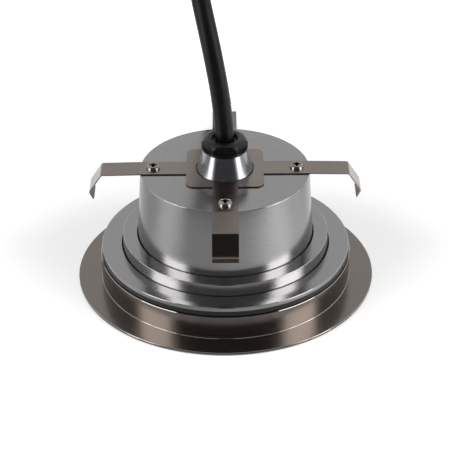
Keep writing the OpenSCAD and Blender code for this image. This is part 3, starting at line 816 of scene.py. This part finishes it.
@dataclass
class CableGland(DressedSolids):
    """Polished gland body with its seals and black nut.

    The body is turned here from the solid's outline, with a steeper cone, as the photo shows it.
    """

    FINISHES: ClassVar[Mapping[str, Finish]] = {
        "gland_ring": SEAL_SILICONE,
        "lock_nut": GLAND_ALUMINIUM,
        "gland_seal": GLAND_RUBBER,
        "gland_nut": NUT_POLYAMIDE,
    }
    bore_radii_mm: Span = (4.4, 6.2)
    stub_radius_mm: float = 8.0
    groove_radii_mm: Span = (8.8, 10.4)
    cone_radii_mm: Span = (12.3, 9.3)
    neck_radius_mm: float = 7.6
    chamfer_mm: float = 0.5
    # End of the stub, foot of the cone, floor of the groove, ledge in the bore, shoulder, top
    heights_mm: tuple[float, ...] = (43.6, 51.6, 53.2, 58.5, 61.8, 65.0)
    segments: int = 160
    crease: float = 20.0

    def outline(self) -> list[Span]:
        """Draws the half section of the gland body.

        Returns:
            Its corners as radius and height in mm, up the outside and back down the bore.
        """
        cut, stub, neck = self.chamfer_mm, self.stub_radius_mm, self.neck_radius_mm
        bore, seat = self.bore_radii_mm
        inner, outer = self.groove_radii_mm
        wide, narrow = self.cone_radii_mm
        end, foot, floor, ledge, shoulder, top = self.heights_mm
        return [
            (bore, end), (stub - cut, end), (stub, end + cut), (stub, foot),
            (inner, foot), (inner, floor), (outer, floor), (outer, foot),
            (wide, foot), (narrow, shoulder - cut), (narrow - cut, shoulder),
            (neck, shoulder), (neck, top - cut), (neck - cut, top),
            (seat, top), (seat, ledge), (bore, ledge),
        ]

    def turned_body(self) -> None:
        """Makes the gland body, turned from its outline, in place of its solid."""
        mesh = bmesh.new()
        rows = [
            [mesh.verts.new(mm(x, y, height)) for x, y in circle(radius, self.segments)]
            for radius, height in self.outline()
        ]
        for lower, upper in zip(rows, rows[1:] + rows[:1]):
            for i in range(self.segments):
                j = (i + 1) % self.segments
                mesh.faces.new((lower[i], lower[j], upper[j], upper[i]))
        body = place_mesh("polished_gland_body", mesh, GLAND_ALUMINIUM, self.crease)
        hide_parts("gland_body")

    def build(self) -> None:
        """Dresses the gland and turns its body."""
        super().build()
        self.turned_body()


@dataclass
class PanHeadScrews:
    """Pan-head screws with a tapered cross recess, one near the root of each spring arm."""

    count: int = 4
    circle_mm: float = 30.7
    seat_mm: float = 52.1
    head_radius_mm: float = 3.0
    head_height_mm: float = 1.9
    edge_height_mm: float = 0.25
    crown_mm: float = 0.1
    flat_share: float = 0.2
    shank_radius_mm: float = 1.5
    shank_mm: float = 7.5
    chamfer_mm: float = 0.3
    # Cross recess: half width, reach and depth of its blades, the shares of reach and half width
    # over which it deepens, and the share of its depth from which it is painted dark as shade
    blade_mm: float = 0.7
    blade_reach_mm: float = 1.95
    recess_mm: float = 1.35
    end_share: float = 0.62
    flank_share: float = 0.45
    shade_share: float = 0.25
    rings: int = 30
    segments: int = 96
    crease: float = 40.0

    def top(self, radius: float) -> float:
        """Finds the height of the head's surface, without the recess.

        Args:
            radius: Distance from the screw's axis in mm.

        Returns:
            Height above the seat in mm.
        """
        share = radius / self.head_radius_mm
        outside = max(0.0, (share - self.flat_share) / (1 - self.flat_share))
        drop = self.head_height_mm - self.crown_mm - self.edge_height_mm
        fall = drop * (1 - math.sqrt(1 - outside**2))
        return self.head_height_mm - self.crown_mm * min(share / self.flat_share, 1.0) ** 2 - fall

    def recess(self, x: float, y: float) -> float:
        """Finds the depth of the cross recess.

        Args:
            x: Place on the head to the right of its axis, in mm.
            y: Place behind its axis, in mm.

        Returns:
            Depth in mm.
        """
        depths = []
        for along, across in ((abs(x), abs(y)), (abs(y), abs(x))):
            end = (self.blade_reach_mm - along) / (self.blade_reach_mm * self.end_share)
            flank = (self.blade_mm - across) / (self.blade_mm * self.flank_share)
            depths.append(self.recess_mm * min(max(end, 0.0), 1.0) * min(max(flank, 0.0), 1.0))
        return max(depths)

    def one(self, mesh: Form, place: Vector) -> None:
        """Adds one screw to a mesh.

        Args:
            mesh: The mesh.
            place: Middle of the head's seat, in metres.
        """
        rows = []
        # Rings on top of the head, closer together towards its edge
        for ring in range(1, self.rings + 1):
            radius = self.head_radius_mm * math.sin(math.pi / 2 * ring / self.rings)
            spots = circle(radius, self.segments)
            heights = [self.top(radius) - self.recess(*spot) for spot in spots]
            rows.append([mesh.verts.new(place + mm(*spot, h)) for spot, h in zip(spots, heights)])
        shank, cut = self.shank_radius_mm, self.chamfer_mm
        lower = [(self.head_radius_mm, 0.0), (shank, 0.0)]
        lower += [(shank, cut - self.shank_mm), (shank - cut, -self.shank_mm)]
        for radius, height in lower:
            spots = circle(radius, self.segments)
            rows.append([mesh.verts.new(place + mm(*spot, height)) for spot in spots])
        for inner, outer in zip(rows, rows[1:]):
            for i in range(self.segments):
                j = (i + 1) % self.segments
                face = mesh.faces.new((inner[i], outer[i], outer[j], inner[j]))
                x, y, height = (face.calc_center_median() - place) / MM
                # Faces deep in the recess take the second material, which is painted shade
                shaded = self.recess(x, y) > self.recess_mm * self.shade_share
                face.material_index = int(shaded and height > 0)
        bottom = mesh.verts.new(place + mm(0, 0, self.head_height_mm - self.recess_mm))
        # The bottom of the recess is painted shade as well
        for i in range(self.segments):
            face = mesh.faces.new((bottom, rows[0][i], rows[0][(i + 1) % self.segments]))
            face.material_index = 1
        mesh.faces.new(rows[-1])

    def build(self) -> None:
        """Makes all the screws as one piece in place of their plain solids."""
        mesh = bmesh.new()
        for spot in circle(self.circle_mm, self.count):
            self.one(mesh, mm(*spot, self.seat_mm))
        screws = place_mesh("pan_head_screws", mesh, SCREW_STEEL, self.crease)
        # Second material: the painted shade of the recess
        screws.data.materials.append(RECESS_SHADE_STEEL.material())
        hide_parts("spring_screws")


@dataclass
class CrossSpring(DressedSolids):
    """Cross of spring sheet with four bent arms, and its pan-head screws."""

    FINISHES: ClassVar[Mapping[str, Finish]] = {
        "spring_plate": SPRING_STEEL,
        "spring_arm_right": BENT_STEEL[Grain.ALONG_X],
        "spring_arm_left": BENT_STEEL[Grain.ALONG_X],
        "spring_arm_back": BENT_STEEL[Grain.ALONG_Y],
        "spring_arm_front": BENT_STEEL[Grain.ALONG_Y],
    }
    screws: PanHeadScrews = field(default_factory=PanHeadScrews)

    def build(self) -> None:
        """Dresses the spring and makes its screws."""
        super().build()
        self.screws.build()


@dataclass
class Studio:
    """White table and surroundings, soft lamps, and paper sheets that only show in reflections.

    Bright sheets at the sides and dark ones in front give polished metal its strips, and low ones
    all round do so for the gland's cone. Light that was mirrored twice on this grey metal is dim,
    so some sheets glow more strongly there than in a first reflection. Lengths are in metres. A
    bearing is in degrees from the front to the right, given as a middle and a reach to each side.
    A sheet's profile is its two edges, each as radius and height.
    """

    # The table glows for whoever looks straight at it, and least beside the light: from the first
    # to the second lift over the distances of the fade. So it is white and still has a shadow
    floor_radius: float = 0.5
    floor_segments: int = 64
    floor_height: float = -0.0002
    floor_colour: str = "#ececec"
    floor_lift: Span = (0.38, 0.8)
    floor_fade: Span = (0.085, 0.24)
    # Light of the surroundings on the object, which looks straight at a full white
    ambient: float = 0.15
    # Lamps at both sides, and a broad one above
    lamp_bearing: float = 70.0
    lamp_rise: float = 38.0
    lamp_distance: float = 1.0
    lamp_size: float = 0.5
    lamp_radiance: float = 7.0
    top_place: Point = (0.0, -0.2, 1.3)
    top_size: float = 0.9
    top_radiance: float = 0.4
    # Bright upright sheets, with their glow in a first and in a second reflection
    panel_profile: Profile = ((0.9, 0.17), (0.9, 1.05))
    panels: tuple[tuple[str, Span, Span], ...] = (
        ("left", (-67.0, 16.5), (3.4, 13.3)),
        ("right", (71.0, 16.5), (3.6, 15.0)),
    )
    # Dark upright sheets in front: profile, reach and both glows
    front_cards: tuple[tuple[Profile, float, Span], ...] = (
        (((0.95, 0.16), (0.95, 0.98)), 50.0, (0.2, 0.32)),
        (((0.9, 0.44), (0.9, 0.98)), 24.0, (0.04, 0.32)),
    )
    # Low sheets near the horizon, which the cone mirrors: bearing and glow
    skirting_profile: Profile = ((0.93, -0.15), (0.93, 0.165))
    skirting: tuple[tuple[Span, float], ...] = (
        ((0.0, 49.0), 0.05),
        ((-62.0, 9.5), 4.6),
        ((66.0, 11.0), 5.0),
        ((-103.0, 30.0), 0.3),
        ((110.0, 30.0), 0.7),
    )
    # Dark sheet above, which turns rounded rims into thin dark lines
    ceiling_reach: Span = (-0.95, -0.12)
    ceiling_height: float = 0.98
    ceiling_glow: float = 0.06
    # Sheets on the table: radii, bearing and glow
    mat_height: float = 0.0004
    mats: tuple[tuple[Span, Span, float], ...] = (
        ((0.0652, 0.0715), (0.0, 16.0), 0.4),
        ((0.0652, 0.0715), (-21.0, 5.0), 0.55),
        ((0.0652, 0.0715), (21.0, 5.0), 0.55),
        ((0.0652, 0.0715), (-41.0, 15.0), 0.8),
        ((0.0652, 0.0715), (41.0, 15.0), 0.8),
        ((0.15, 0.95), (0.0, 50.0), 0.12),
    )
    # Sheet all round the light, whose glow is a share of ring_glow at each of these bearings
    ring_radii: Span = (0.0715, 0.15)
    ring_glow: float = 1.85
    ring_stops: tuple[Span, ...] = (
        (-180.0, 0.5), (-98.0, 0.4), (-68.0, 0.76), (-37.0, 0.37), (-15.0, 0.37),
        (16.0, 0.46), (63.0, 1.0), (91.0, 0.68), (112.0, 0.53), (180.0, 0.5),
    )
    card_steps: int = 48

    def build(self) -> None:
        """Makes floor, world, lamps and paper sheets."""
        bpy.context.scene.view_settings.view_transform = "Standard"
        self.floor()
        self.world()
        self.lamps()
        for side, bearing, glows in self.panels:
            self.paper(f"bright_panel_{side}", self.curved(self.panel_profile, bearing), *glows)
        for i, (profile, reach, glows) in enumerate(self.front_cards):
            self.paper(f"front_card_{i}", self.curved(profile, (0.0, reach)), *glows)
        for i, (bearing, glow) in enumerate(self.skirting):
            self.paper(f"skirting_{i}", self.curved(self.skirting_profile, bearing), glow)
        for i, (radii, bearing, glow) in enumerate(self.mats):
            self.paper(f"mat_{i}", self.curved(self.flat(radii), bearing), glow)
        self.ring()
        self.ceiling()

    def flat(self, radii: Span) -> Profile:
        """Profile of a sheet on the table."""
        inner, outer = radii
        return (inner, self.mat_height), (outer, self.mat_height)

    def ring(self) -> None:
        """Makes the sheet all round the light, which gives the barrel its soft bands."""
        mesh = self.curved(self.flat(self.ring_radii), (0.0, 180.0))
        ring = self.paper("mat_ring", mesh, self.ring_glow)
        tree = ring.data.materials[0].node_tree
        place = add_node(tree, "TexCoord").outputs["Object"]
        x, y, _ = add_node(tree, "SeparateXYZ", {0: place}).outputs
        bearing = maths(tree, "ARCTAN2", x, maths(tree, "MULTIPLY", y, -1.0))
        span = {"Value": bearing, "From Min": -math.pi, "From Max": math.pi}
        share = add_node(tree, "MapRange", span).outputs[0]
        ramp = add_node(tree, "ValToRGB", {0: share})
        ramp.color_ramp.interpolation = "EASE"
        stops = ramp.color_ramp.elements
        for degrees, _ in self.ring_stops[1:-1]:
            stops.new(degrees / 360 + 0.5)
        for stop, (_, glow) in zip(stops, self.ring_stops):
            stop.color = (glow, glow, glow, 1.0)
        paper = next(node for node in tree.nodes if node.type == "EMISSION")
        tree.links.new(ramp.outputs[0], paper.inputs["Color"])

    def ceiling(self) -> None:
        """Makes the dark sheet above."""
        near, far = self.ceiling_reach
        mesh = bmesh.new()
        corners = [(-near, near), (near, near), (near, far), (-near, far)]
        mesh.faces.new([mesh.verts.new((x, y, self.ceiling_height)) for x, y in corners])
        self.paper("ceiling", mesh, self.ceiling_glow)

    def curved(self, profile: Profile, bearing: Span) -> Form:
        """Builds the mesh of a sheet that curves round the light.

        Args:
            profile: Its two edges, each as radius and height.
            bearing: Its middle and its reach to each side.

        Returns:
            The mesh.
        """
        mesh = bmesh.new()
        middle, reach = bearing
        steps = range(self.card_steps + 1)
        turns = [math.radians(middle + reach * (2 * i / self.card_steps - 1)) for i in steps]
        first, second = (
            [mesh.verts.new((math.sin(t) * radius, -math.cos(t) * radius, height)) for t in turns]
            for radius, height in profile
        )
        for i in range(self.card_steps):
            mesh.faces.new((first[i], first[i + 1], second[i + 1], second[i]))
        return mesh

    def paper(self, name: str, mesh: Form, glow: float, again: float | None = None) -> Object:
        """Turns a mesh into a sheet that only shows in reflections.

        Args:
            name: Its name.
            mesh: Its shape, which is used up.
            glow: How light it looks, where white is 1.
            again: How light it looks where it is mirrored a second time, if that is different.

        Returns:
            The sheet.
        """
        material = bpy.data.materials.new(f"lit_paper_{name}")
        material.cycles.emission_sampling = "NONE"
        tree = new_tree(material)
        paper = add_node(tree, "Emission", {"Strength": glow})
        if again is not None:
            depth = add_node(tree, "LightPath").outputs["Glossy Depth"]
            span = {"From Min": 1.0, "From Max": 2.0, "To Min": glow, "To Max": again}
            strength = add_node(tree, "MapRange", {"Value": depth, **span})
            tree.links.new(strength.outputs[0], paper.inputs["Strength"])
        add_node(tree, "OutputMaterial", {"Surface": paper.outputs[0]})
        sheet = new_object(name, mesh_data(name, mesh, material))
        sheet.visible_camera = False
        sheet.visible_diffuse = False
        sheet.visible_shadow = False
        sheet.visible_transmission = False
        return sheet

    def lamps(self) -> None:
        """Makes the lamps."""
        rise = math.radians(self.lamp_rise)
        for side, label in ((-1, "left"), (1, "right")):
            turn = math.radians(self.lamp_bearing) * side
            across, ahead = math.sin(turn) * math.cos(rise), math.cos(turn) * math.cos(rise)
            place = Vector((across, -ahead, math.sin(rise))) * self.lamp_distance
            self.lamp(f"side_lamp_{label}", place, self.lamp_size, self.lamp_radiance)
        self.lamp("top_lamp", Vector(self.top_place), self.top_size, self.top_radiance)

    def lamp(self, name: str, place: Vector, size: float, radiance: float) -> None:
        """Makes a soft square lamp that faces the light and doesn't show in reflections.

        Args:
            name: Its name.
            place: Its middle.
            size: Its side.
            radiance: Brightness of its face, where a white floor under open sky is 1.
        """
        data = bpy.data.lights.new(name, "AREA")
        data.size = size
        data.energy = radiance * size**2 * math.pi
        lamp = new_object(name, data)
        lamp.location = place
        lamp.rotation_euler = place.to_track_quat("Z", "Y").to_euler()
        lamp.visible_glossy = False

    def seen_directly(self, tree: Tree) -> Socket:
        """Adds a value that is 1 where the camera, a reflection or a clear piece looks at it.

        Args:
            tree: Node tree that takes it.

        Returns:
            The value, 0 or 1.
        """
        path = add_node(tree, "LightPath").outputs
        seen = maths(tree, "MAXIMUM", path["Is Camera Ray"], path["Is Glossy Ray"])
        return maths(tree, "MAXIMUM", seen, path["Is Transmission Ray"])

    def world(self) -> None:
        """Makes surroundings that look white and light the object evenly."""
        world = bpy.data.worlds.new("studio")
        tree = new_tree(world)
        span = {"Value": self.seen_directly(tree), "To Min": self.ambient, "To Max": 1.0}
        strength = add_node(tree, "MapRange", span).outputs[0]
        white = {"Strength": strength, "Color": (1, 1, 1, 1)}
        light = add_node(tree, "Background", white)
        add_node(tree, "OutputWorld", {"Surface": light.outputs[0]})
        bpy.context.scene.world = world

    def floor(self) -> None:
        """Makes the round table, which keeps the object's shadow and otherwise reads as white."""
        material = bpy.data.materials.new("matt_white_table")
        tree = new_tree(material)
        diffuse = add_node(tree, "BsdfDiffuse", {"Color": linear(self.floor_colour)})
        place = {0: add_node(tree, "TexCoord").outputs["Object"]}
        out = add_node(tree, "VectorMath", place, operation="LENGTH").outputs["Value"]
        ends = (out, *self.floor_fade, *self.floor_lift)
        span = dict(zip(("Value", "From Min", "From Max", "To Min", "To Max"), ends))
        fade = add_node(tree, "MapRange", span).outputs[0]
        lift = maths(tree, "MULTIPLY", self.seen_directly(tree), fade)
        glow = add_node(tree, "Emission", {"Strength": lift})
        both = {0: diffuse.outputs[0], 1: glow.outputs[0]}
        surface = add_node(tree, "AddShader", both).outputs[0]
        add_node(tree, "OutputMaterial", {"Surface": surface})
        mesh = bmesh.new()
        bmesh.ops.create_circle(
            mesh, cap_ends=True, radius=self.floor_radius, segments=self.floor_segments
        )
        floor = new_object("floor", mesh_data("floor", mesh, material))
        floor.location.z = self.floor_height


def main() -> None:
    """Builds the scene, camera and lead first, and reports each part of it."""
    logging.basicConfig(level=logging.INFO, format="%(name)s: %(message)s")
    assemblies = (
        PhotoCamera(), SupplyLead(), TrimAndGlass(), HousingAndInside(), CableGland(),
        CrossSpring(), Studio(),
    )
    for assembly in assemblies:
        assembly.build()
        LOG.info("built %s", type(assembly).__name__)


if __name__ == "__main__":
    main()
